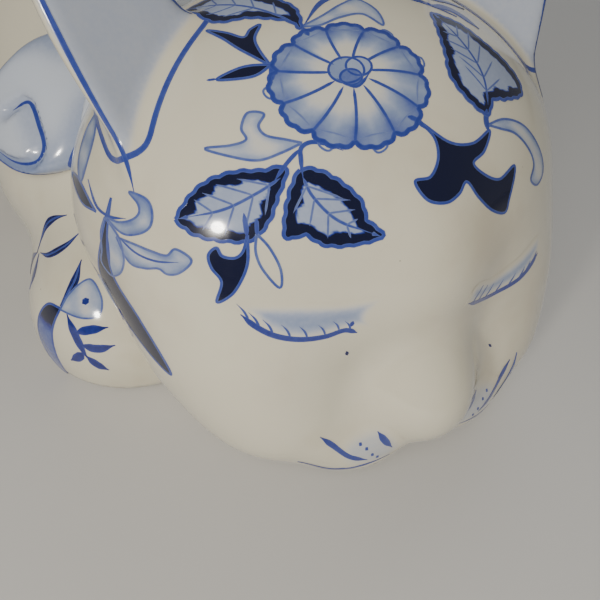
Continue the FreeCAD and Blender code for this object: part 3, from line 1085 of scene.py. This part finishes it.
# ---- Closed eyes, nose and mouth ----
# The sleeping face is only brushwork: a heavy lower line and fine lashes for each eye
# over a grey wash, and short strokes for the mouth, nostrils and whisker roots.

on_head = chart(eared_head, skull, 0, 42, 68)


def rounded(outline, grain=0.7):
    """The closed rim through the corners of an outline."""
    outline = [tuple(corner) for corner in outline]
    rows = int(run_length(outline + outline[:1]) / grain) + 4
    return curve_through(outline + outline[:1], rows)[:-1]


def soft_wash(depth, soft=3.0):
    return lambda margin, place: depth * smooth(margin, 0, soft)


LASHES = 8
EYES = (
    (((-53.4, -24.5), (-50.4, -28.7), (-46.1, -32.7), (-40.2, -35.8), (-33.7, -37.4), (-28.2, -37.4),
      (-24.8, -39.4)), (-2.2, 5.4),
     ((-54, -21), (-46, -23), (-39, -25), (-28, -28), (-17, -29), (-21, -35), (-17.6, -42), (-23.5, -38.4),
      (-34, -38), (-42, -36), (-49, -30.5))),
    (((10.0, -39.8), (16.0, -42.2), (24.0, -43.4), (34.0, -41.8), (40.0, -39.2), (46.0, -34.6)), (3.6, 4.6),
     ((8, -40), (12, -34), (22, -36), (34, -33.5), (46, -28.5), (47, -34), (40, -40), (30, -43.2),
     (18, -43))),
)
face = Brushwork()
for lid, lean, shade in EYES:
    face.patch(rounded(shade), soft_wash(0.27, 5.0), WASH_LIFT)
    roots = curve_through(lid, 101)
    for number in range(LASHES):
        share = 0.10 + 0.80 * number / (LASHES - 1)
        root = roots[int(share * 100)] + (0, 0.5)
        tip = root + np.array(lean) * (1 - 0.45 * share)
        face.stroke([root, (root + tip) / 2 + (0.3, 0.1), tip], 0.6, 0.56, ends=(0.1, 0.6), step=0.7)
    face.stroke(lid, 1.5, 0.7, ends=(0.12, 0.08))
face.stroke([(-26.5, -36.6), (-25.8, -35.0)], 1.2, 0.66, ends=(0.3, 0.3), step=0.3)
MOUTH = ((-35.4, -67.2), (-32.0, -70.6), (-26.5, -75.5), (-20.5, -78.2))
NOSTRIL = ((-18.2, -70.8), (-15.4, -74.0), (-13.0, -76.7))
LIP = ((-41.0, -74.5), (-32.5, -80.3), (-26.9, -80.6), (-21.0, -80.0), (-13.0, -80.0))
WHISKER_ROOTS = ((-21.6, -74.4), (-19.6, -76.6), (-23.6, -72.8), (-17.8, -78.0))
CHIN_SHADE = ((-30, -71), (-24, -69), (-15, -69), (-9, -76), (-12, -82), (-22, -82), (-29, -78))
for hand in ((1, 1), (-1, 1)):
    face.patch(rounded(np.array(CHIN_SHADE) * hand), soft_wash(0.13, 5.0), WASH_LIFT)
    face.stroke(np.array(MOUTH) * hand, 1.2, 0.68, ends=(0.3, 0.2))
    face.stroke(np.array(NOSTRIL) * hand, 2.0, 0.66, ends=(0.3, 0.5), step=0.6)
    face.stroke(np.array(LIP) * hand, 0.9, 0.66, ends=(0.3, 0.3))
    for dot in WHISKER_ROOTS:
        start = np.array(dot) * hand
        face.stroke([start, start + (0.4, -0.4), start + (0.9, -0.8)], 0.9, 0.6, ends=(0.4, 0.4), step=0.3)
face.stroke([(38.5, -65.5), (37.0, -71.0), (33.5, -77.0), (28.0, -82.0)], 1.2, 0.62, ends=(0.35, 0.3))
face.lay("face_brushwork", on_head)

# ---- Flower on the brow ----
# One open blossom seen from above, in scalloped petals round a small curled heart.
# Each petal is washed from grey blue at its tip to almost bare glaze at its root.

PETALS = 11
PETAL_STEPS = 12
FLOWER_ROWS = 12


def blossom(work, centre, hub, radii, tilt, rng):
    """A blossom between its hub and an oval rim, on a flat chart."""
    centre = np.array(centre, float)
    hub = np.array(hub, float)
    cosine, sine = math.cos(math.radians(tilt)), math.sin(math.radians(tilt))

    def reach_out(turn, share=1.0):
        """A point on the scalloped rim, or part of the way out to it."""
        lobe = np.abs(np.sin(turn * PETALS / 2))
        ruffle = np.abs(np.sin(turn * PETALS * 1.5))
        swell = 0.92 + 0.08 * lobe ** 0.6 + 0.025 * ruffle
        oval = np.stack([radii[0] * np.cos(turn) * swell, radii[1] * np.sin(turn) * swell], -1)
        edge = centre + oval @ np.array([[cosine, sine], [-sine, cosine]])
        return hub + (edge - hub) * np.asarray(share)[..., None]

    turns = np.linspace(0, 2 * math.pi, PETALS * PETAL_STEPS + 1)
    shares = np.linspace(0.16, 1.0, FLOWER_ROWS)
    petals = np.stack([reach_out(turns, np.full(len(turns), share)) for share in shares])
    along = turns * PETALS / (2 * math.pi)
    number = np.minimum(along.astype(int), PETALS - 1)
    strength = np.array([rng.uniform(0.8, 1.15) for _ in range(PETALS)])[number]
    start = np.array([rng.uniform(0.30, 0.52) for _ in range(PETALS)])[number]
    outer = smooth(shares[:, None], start[None], 0.9)
    sides = 0.6 + 0.4 * np.abs(along % 1 - 0.5) * 2
    work.grid(petals, 0.07 + 0.40 * outer * strength * sides, WASH_LIFT)
    for petal in range(PETALS):
        turn = 2 * math.pi * petal / PETALS
        swirl = rng.uniform(0.10, 0.20)
        line = [reach_out(np.array(turn + swirl * (1 - share)), share) for share in (0.24, 0.5, 0.75, 0.99)]
        work.stroke(line, 0.8, 0.6, ends=(0.1, 0.0), step=0.8)
        if rng.random() < 0.6:
            low = turn + 2 * math.pi / PETALS * rng.uniform(0.1, 0.4)
            loop = [reach_out(np.array(low + 2 * math.pi / PETALS * part), share)
                    for part, share in ((0, 0.97), (0.12, 1.06), (0.32, 1.06), (0.44, 0.97))]
            work.stroke(loop, 0.55, 0.5, ends=(0.1, 0.1), step=0.6)
        inner = [reach_out(np.array(turn + 2 * math.pi / PETALS * part), share)
                 for part, share in ((0.12, 0.90), (0.5, 0.84), (0.88, 0.90))]
        work.stroke(inner, 0.5, 0.42, ends=(0.3, 0.3), step=0.8)
    work.stroke(reach_out(np.linspace(0, 2 * math.pi, PETALS * 9 + 1)), 1.25, 0.66, ends=(0, 0), step=0.7)
    heart = 0.2 * radii[0]
    around = np.linspace(0, 2 * math.pi, 15)
    for shift, size, shade in (
            ((-0.1, 0.1), 1.15, 0.32), ((0.45, 0.15), 0.85, 0.22), ((-0.05, -0.25), 0.7, 0.46)):
        spot = hub + np.array(shift) * heart * 1.6
        circle = spot + size * heart * np.column_stack([np.cos(around), 0.8 * np.sin(around)])
        disc = np.stack([spot + (circle - spot) * share for share in (0.02, 0.5, 1.0)])
        work.grid(disc, shade, FILL_LIFT)
        work.stroke(circle, 0.65, 0.62, ends=(0, 0), step=0.6)
    curl = [hub + (-heart, -0.3 * heart), hub + (0, -1.1 * heart), hub + (1.2 * heart, -0.4 * heart)]
    work.stroke(curl, 0.8, 0.62)


brow_flower = Brushwork()
blossom(brow_flower, (-12.6, 26.4), (-12.4, 28.6), (20.2, 17.8), -8, random.Random(11))
brow_flower.lay("brow_flower", on_head)

# ---- Dark-edged leaves ----
# Leaves with a scalloped blue-black border round a pale grey-blue blade, which is
# veined with a fine brush. A paler royal blue shows along the outside of the border.

LEAF_WASH = 0.22
VEINS = 4


def scalloped(rim, span=3.6, depth=0.5):
    """A closed rim with shallow scallops along it."""
    steps = np.linalg.norm(np.roll(rim, -1, axis=0) - rim, axis=1)
    place = np.cumsum(steps) - steps
    span = place[-1] / max(3, round(place[-1] / span))
    side = -across_line(closed(rim))[:-1]
    if edge_distance(rim.mean(0)[None], rim + side * 0.5)[0] < edge_distance(rim.mean(0)[None], rim)[0]:
        side = -side
    return rim + side * (depth * np.abs(np.sin(math.pi * place / span)))[:, None]


def edged_leaf(work, outline, rib, border=2.5, veins=VEINS):
    """A scalloped leaf inside an outline, with its rib drawn from the stem to the tip."""
    rim = scalloped(rounded(outline))

    def tint(margin, place):
        edge = border * (1 + 0.2 * np.sin(place[:, 0] * 0.9 + place[:, 1] * 0.7))
        return LEAF_WASH + (NAVY - LEAF_WASH) * (1 - smooth(margin, edge - 0.4, edge + 0.4))

    work.patch(rim, tint, FILL_LIFT, 0.65)
    work.stroke(closed(rim), 1.0, 0.6, ends=(0, 0), step=0.8)
    line = curve_through(rib, 41)
    side = across_line(line)
    work.stroke(line[::5], 0.8, 0.56, ends=(0.1, 0.3), step=0.8)
    for number in range(veins):
        at = int(6 + 24 * number / (veins - 1))
        for hand in (1, -1):
            aim = unit(side[at] * hand + 0.9 * unit(line[min(at + 1, 40)] - line[at]))
            for length in np.arange(9.0, 0.8, -0.5):
                tip = line[at] + aim * length
                if within(tip[None], rim)[0] and edge_distance(tip[None], rim)[0] > border * 0.6:
                    vein = [line[at], line[at] + aim * length * 0.6, tip]
                    work.stroke(vein, 0.55, 0.48, ends=(0.1, 0.3), step=0.7)
                    break
    end = line[-1] + unit(line[-1] - line[-3]) * 1.6
    work.stroke([line[-2], line[-1], end], 1.0, 0.55, ends=(0.1, 0.7), step=0.5)


LEAF_TOWARDS_EAR = ((-62.3, 3.8), (-60.0, 0.4), (-57.5, -1.8), (-53.0, -4.0), (-46.8, -5.6), (-42.0, -2.6),
                    (-38.8, 2.1), (-35.0, 8.6), (-40.1, 9.4), (-46.0, 10.8), (-52.0, 10.6), (-57.0, 8.4))
LEAF_DOWN_BROW = ((-31.8, 7.5), (-34.9, 3.4), (-37.4, -2.0), (-38.4, -7.2), (-34.0, -7.6), (-30.5, -11.0),
                  (-24.5, -12.8), (-16.4, -12.6), (-19.4, -8.0), (-19.8, -3.5), (-23.4, 2.0), (-27.9, 6.2))
LEAF_BEHIND = ((-45.0, 73.0), (-42.5, 63.0), (-38.0, 57.0), (-31.0, 55.2), (-26.0, 52.6), (-20.5, 49.0),
               (-19.0, 45.8), (-17.4, 54.0), (-21.5, 61.5), (-28.0, 69.0), (-36.9, 74.0))
LEAF_LEFT_BROW = ((23.6, 43.8), (20.2, 35.1), (17.8, 28.3), (15.8, 22.3), (17.8, 15.8), (23.0, 10.2),
                  (27.5, 13.8),
                  (33.0, 13.4), (42.6, 14.0), (44.8, 18.8), (42.0, 25.0), (37.5, 31.0), (32.0, 38.5))
leaves = Brushwork()
edged_leaf(leaves, LEAF_TOWARDS_EAR, ((-36.5, 6.8), (-43.0, 4.6), (-51.0, 3.0), (-60.0, 3.6)))
edged_leaf(leaves, LEAF_DOWN_BROW, ((-31.6, 5.8), (-30.4, 0.4), (-26.0, -6.4), (-18.0, -11.8)), 2.8)
edged_leaf(leaves, LEAF_BEHIND, ((-19.8, 48.0), (-27.0, 58.0), (-34.0, 65.0), (-43.0, 71.5)))
edged_leaf(leaves, LEAF_LEFT_BROW, ((24.6, 12.4), (27.6, 21.0), (27.0, 31.0), (24.4, 42.0)), 2.6, 5)
leaves.lay("edged_leaves", on_head)

# ---- Solid dark leaves ----
# Horned and lobed leaves filled in one go with blue-black cobalt, so that only their
# edge shows a thin royal blue halo where the colour bled.


def dark_leaf(work, outline, halo=0.75):
    rim = rounded(outline, 0.6)
    work.patch(rim, lambda margin, place: NAVY, FILL_LIFT, 1.4)
    work.stroke(closed(rim), halo, 0.58, ends=(0, 0), step=0.6)


HORNED_LEAF = ((-30.5, 35.4), (-33.5, 39.5), (-36.5, 44.0), (-39.0, 49.0), (-42.2, 55.0), (-37.6, 51.2),
               (-34.0, 47.4), (-31.5, 49.6), (-28.4, 50.4), (-31.3, 46.0), (-31.6, 41.5))
SLIM_LEAF = ((-30.2, 35.8), (-35.3, 37.3), (-39.4, 37.3), (-44.0, 36.0), (-38.7, 34.2), (-34.5, 33.9))
HOOKED_LEAF = ((-47.0, -4.4), (-49.0, -8.0), (-51.3, -9.2), (-54.0, -8.0), (-54.8, -5.6), (-57.2, -7.0),
               (-57.4, -10.5), (-56.0, -14.7), (-58.4, -19.8), (-54.6, -18.8), (-51.4, -15.6),
               (-48.6, -11.0))
LOBED_LEAF = ((0.7, 11.8), (3.4, 7.0), (2.6, 2.0), (-1.0, -1.8), (-5.4, -2.0), (-3.4, -7.0), (1.5, -8.8),
              (6.0, -7.6), (9.4, -5.4), (12.5, -10.0), (17.5, -14.5), (23.8, -16.6), (26.2, -13.0),
              (29.8, -5.0), (22.6, -7.2), (17.0, -5.2), (13.4, -1.4), (18.3, 0.9), (22.2, 5.8),
              (15.0, 3.6), (7.5, 5.2))
NECK_LEAF = ((-78.4, 14.5), (-87.0, 4.0), (-96.5, -6.0), (-97.5, -16.0), (-90.0, -29.0),
             (-76.0, -41.5), (-83.0, -24.0),
             (-88.0, -11.0), (-87.0, -2.0))
TEMPLE_LEAF = ((-85.5, 12.5), (-92.0, 18.0), (-97.0, 30.0), (-91.0, 25.0))
darks = Brushwork()
for outline in (HORNED_LEAF, SLIM_LEAF, HOOKED_LEAF, LOBED_LEAF, NECK_LEAF, TEMPLE_LEAF):
    dark_leaf(darks, outline)
darks.lay("dark_leaves", on_head)

# ---- Pale leaves and stems ----
# Outline leaves and a small lily, filled with a single thin wash, and the royal blue
# stems that tie the whole spray together.


def washed_leaf(work, outline, depth=0.16, line=0.7, shade=0.5):
    rim = rounded(outline)
    drift = np.array([0.33, 0.21])

    def tint(margin, place):
        drifted = 0.75 + 0.5 * np.sin(place @ drift) ** 2
        return depth * drifted * (1.2 - 0.5 * smooth(margin, 0, 2))

    work.patch(rim, tint, WASH_LIFT)
    work.stroke(closed(rim), line, shade, ends=(0, 0), step=0.7)


FROND = ((21.9, 7.3), (29.9, 7.8), (38.9, 4.6), (46.0, -2.9), (47.5, -9.0), (42.5, -12.4), (38.0, -10.3),
         (40.5, -6.2), (38.2, -1.3), (32.9, 3.4), (26.7, 5.6))
FORKED_LEAF = ((-29.6, 13.6), (-34.5, 12.6), (-40.0, 12.2), (-45.1, 14.4), (-51.2, 18.6), (-45.5, 17.6),
               (-41.6, 17.9), (-41.9, 21.0), (-39.5, 24.4), (-36.0, 23.0), (-38.0, 20.4),
               (-37.0, 17.6), (-33.0, 15.4))
DROP_LEAF = ((-44.9, -4.6), (-46.2, -9.0), (-45.6, -14.0), (-42.8, -19.6), (-41.6, -15.0), (-42.8, -9.0))
ARCHED_LEAF = ((-18.6, 45.8), (-11.7, 48.2), (-4.0, 51.6), (2.0, 52.8), (5.0, 47.0), (3.6, 41.0),
               (-0.1, 46.3),
               (-7.1, 46.4), (-13.8, 44.9))
LILY_UPPER = ((-82.3, 10.3), (-78.3, 7.4), (-73.8, 6.8), (-70.9, 7.9), (-70.4, 10.5), (-71.8, 14.0),
              (-68.2, 11.0),
              (-67.6, 7.2), (-69.4, 3.6), (-73.3, 2.7), (-78.2, 4.2))
LILY_TAIL = ((-80.5, 3.6), (-75.3, 0.2), (-71.1, -2.7), (-67.5, -4.7), (-64.6, -3.6), (-61.6, -7.4),
             (-65.5, -10.0),
             (-68.9, -9.8), (-71.0, -7.7), (-75.0, -6.9), (-79.3, -4.3))
LILY_LOWER = ((-82.5, 10.0), (-86.0, 6.3), (-88.4, 1.2), (-91.5, -2.7), (-89.3, -7.4), (-84.5, -7.2),
              (-80.9, -3.4),
              (-79.6, 2.0), (-80.6, 6.0))
CHEEK_LEAF = ((-79.5, 45.0), (-86.0, 40.0), (-91.0, 31.0), (-90.0, 24.0), (-85.0, 29.0), (-81.0, 36.0))
stems = Brushwork()
for outline, depth in ((FROND, 0.2), (FORKED_LEAF, 0.18), (DROP_LEAF, 0.03), (ARCHED_LEAF, 0.2),
                       (LILY_UPPER, 0.3), (LILY_TAIL, 0.28), (LILY_LOWER, 0.28), (CHEEK_LEAF, 0.34)):
    washed_leaf(stems, outline, depth)
for path, width in (
    (((-20.8, 9.4), (-26.5, 13.0), (-30.0, 12.6), (-31.0, 9.5), (-31.6, 5.5)), 1.1),
    (((-30.0, 12.6), (-34.0, 10.0), (-38.0, 6.5)), 1.0),
    (((-46.5, 1.0), (-46.8, -2.0), (-47.2, -4.8)), 1.2),
    (((-44.0, -1.0), (-44.9, -5.0)), 1.0),
    (((-30.2, 36.2), (-31.0, 33.0), (-32.6, 30.6)), 1.6),
    (((-44.0, 36.2), (-46.4, 36.8)), 0.6),
    (((-18.6, 45.4), (-18.0, 42.0)), 1.4),
    (((-18.6, 45.4), (-8.0, 54.5), (6.0, 57.0), (22.0, 50.5), (34.0, 42.0)), 1.6),
    (((-2.5, 14.0), (0.0, 12.4), (2.0, 9.5)), 1.3),
    (((21.6, 5.6), (22.0, 8.6), (23.6, 11.4)), 1.8),
    (((27.0, 47.6), (35.0, 45.0), (41.0, 37.0)), 2.6),
    (((30.0, 50.5), (38.0, 49.5), (45.0, 47.0)), 1.4),
    (((-86.0, 23.0), (-84.6, 14.0), (-80.5, 9.6), (-75.5, 7.6)), 0.8),
    (((-80.0, 4.0), (-76.0, -2.0), (-71.0, -5.5), (-65.0, -7.2)), 0.6),
    (((-83.0, 7.0), (-85.0, 1.0), (-87.5, -4.0)), 0.6),
):
    stems.stroke(path, width, 0.62, ends=(0.25, 0.25))
stems.stroke([(27.2, -62.0), (27.8, -62.4), (28.4, -62.8)], 0.8, 0.9, ends=(0.4, 0.4), step=0.3)
stems.stroke([(-28.0, -45.2), (-27.9, -46.0), (-27.8, -46.8)], 1.0, 0.95, ends=(0.4, 0.4), step=0.3)
stems.lay("stems_and_pale_leaves", on_head)

# ---- Sprigs on the shoulders ----
# A trumpet flower with dark leaves falls from under the bow on each shoulder.

BELL = ((15.0, 3.5), (9.0, 1.5), (5.5, -6.0), (5.5, -14.0), (9.0, -21.0), (15.5, -24.5), (14.5, -15.0),
        (13.5, -6.0))
BUD = ((15.0, 3.0), (16.5, 11.0), (20.5, 17.8), (27.0, 14.0), (28.8, 8.0), (24.0, 4.5))
TRIDENT = (((18.0, 3.0), (23.0, -3.0), (27.5, -10.0)), ((22.0, -2.0), (27.0, 1.5), (32.5, 4.5)),
           ((24.5, -5.0), (30.0, -4.5), (35.5, -1.5)), ((26.5, -8.5), (30.0, -11.0), (33.5, -12.5)),
           ((26.0, -7.5), (24.0, -10.5), (21.0, -13.5)))
HANGING = (((-10.0, 30.0), (-15.0, 24.0), (-17.0, 18.0), (-14.5, 8.0)), ((2.0, 30.0), (1.0, 22.0),
           (-4.0, 14.0), (-11.0, 10.0)),
           ((12.5, 22.0), (15.5, 14.0), (14.5, 4.0)), ((-14.0, 8.0), (-18.0, 2.0), (-18.0, -6.0)),
           ((-12.0, 9.0), (-8.0, 2.0), (-8.0, -5.0)))


def shoulder_sprig(work, hand):
    hand = np.array([hand, 1])
    bell = rounded(np.array(BELL) * hand)
    work.patch(bell, lambda margin, place: 0.5 + (NAVY - 0.5) * smooth(place[:, 1], -8, 0), FILL_LIFT)
    work.stroke(closed(bell), 0.8, 0.62, ends=(0, 0))
    washed_leaf(work, np.array(BUD) * hand, 0.24)
    work.stroke(np.array(((22.0, 9.0), (23.5, 11.5))) * hand, 2.2, 0.8, ends=(0.3, 0.3), step=0.4)
    for path in TRIDENT:
        work.stroke(np.array(path) * hand, 3.0, 0.8, FILL_LIFT, ends=(0.35, 0.4), step=0.8)
    for path in HANGING:
        work.stroke(np.array(path) * hand, 3.4, 0.95, FILL_LIFT, ends=(0.5, 0.5), step=0.9)
        work.stroke(np.array(path) * hand, 0.8, 0.6, ends=(0.3, 0.3))


for side, word in ((1, "left"), (-1, "right")):
    sprig = Brushwork()
    shoulder_sprig(sprig, -side)
    sprig.lay(word + "_shoulder_sprig", chart(trunk_skin, (60 * side, -50, 20), 75 * side, 15, 40))

# ---- Sprays on the back and haunches ----
# The same hand goes on over the body: a blossom between dark-edged leaves on the back
# and on each haunch, with loose sprigs between them.


SPRAY_EDGED = ((0, 0), (5, 6.5), (12, 8.5), (19, 6), (26, 1), (20, -5), (12, -7.5), (4, -5))
SPRAY_DARK = ((0, 0), (5, 3), (8, 9), (12, 12), (12, 6), (17, 4), (23, 2), (17, -2), (9, -4), (4, -2))
SPRAY_PALE = ((0, 0), (6, 4), (13, 3.5), (20, -1), (13, -2.5), (6, -1.5))
SPRAY_TURNS = (
    (28, "edged"), (152, "dark"), (212, "edged"), (318, "dark"), (96, "pale"), (268, "pale"))


def spray(work, seed, size=1.0):
    """A blossom with six leaves and their stems, on a flat chart."""
    rng = random.Random(seed)
    blossom(work, (0, 0), (0.5 * size, 1.5 * size), (17 * size, 15.5 * size), rng.uniform(-20, 20), rng)
    for turn, kind in SPRAY_TURNS:
        turn = math.radians(turn + rng.uniform(-8, 8))
        out = np.array([math.cos(turn), math.sin(turn)])
        side = np.array([-out[1], out[0]])
        place = lambda run, off: out * (18 + run) * size + side * off * size
        if kind == "edged":
            outline = [place(*corner) for corner in SPRAY_EDGED]
            edged_leaf(work, outline, [place(1, 0), place(8, 1), place(16, 1), place(25, 0.8)], 2.3 * size)
        elif kind == "dark":
            outline = [place(*corner) for corner in SPRAY_DARK]
            dark_leaf(work, outline)
        else:
            outline = [place(*corner) for corner in SPRAY_PALE]
            washed_leaf(work, outline)
        work.stroke([place(-2, 0), place(0.5, 0)], 1.3, 0.62, ends=(0.2, 0.2), step=0.5)


for name, middle, azimuth, elevation, reach, seed in (
    ("left_haunch_spray", (40, 96, 40), 82, 22, 72, 3),
    ("right_haunch_spray", (-40, 96, 40), -82, 22, 72, 4),
    ("back_spray", (0, 70, 40), 180, 68, 88, 5),
):
    work = Brushwork()
    spray(work, seed)
    work.lay(name, chart(trunk_skin, middle, azimuth, elevation, reach))

# ---- Painted edges of the ribbon ----
# Each ribbon end is bound with a fine dark blue line along its edge, and the roll at its
# end is marked with a curl of the same blue.


def side_chart(skin, side):
    """Flat (along, up) coordinates on one side of a skin, laid on it straight from the side."""
    start, inward = np.array([side * 140.0, 0, 0]), np.array([-side, 0, 0])

    def place(flat):
        points = start + flat @ np.array([[0, 1, 0], [0, 0, 1]])
        for _ in range(90):
            points = points + 0.7 * inward * skin(points)[:, None]
        return points, unit(gradient(skin, points))

    return place


def both_streamers(points):
    return streamer_skin(np.column_stack([np.abs(points[:, 0]), points[:, 1:]]))


RIBBON_EDGE = 1.1
EDGE_INSET = 0.10
for side, word in ((1, "left"), (-1, "right")):
    ribbon_lines = Brushwork()
    corners = np.array(STREAMER_CORNERS, float)
    corners += (corners.mean(0) - corners) * EDGE_INSET
    edge = np.concatenate([corners[1:], corners[:1]])
    ribbon_lines.stroke(edge[:4], RIBBON_EDGE, 0.66, ends=(0.05, 0.05))
    ribbon_lines.stroke(ROLL_LINE, RIBBON_EDGE, 0.66, ends=(0.1, 0.3))
    ribbon_lines.lay(word + "_ribbon_lines", side_chart(both_streamers, side))
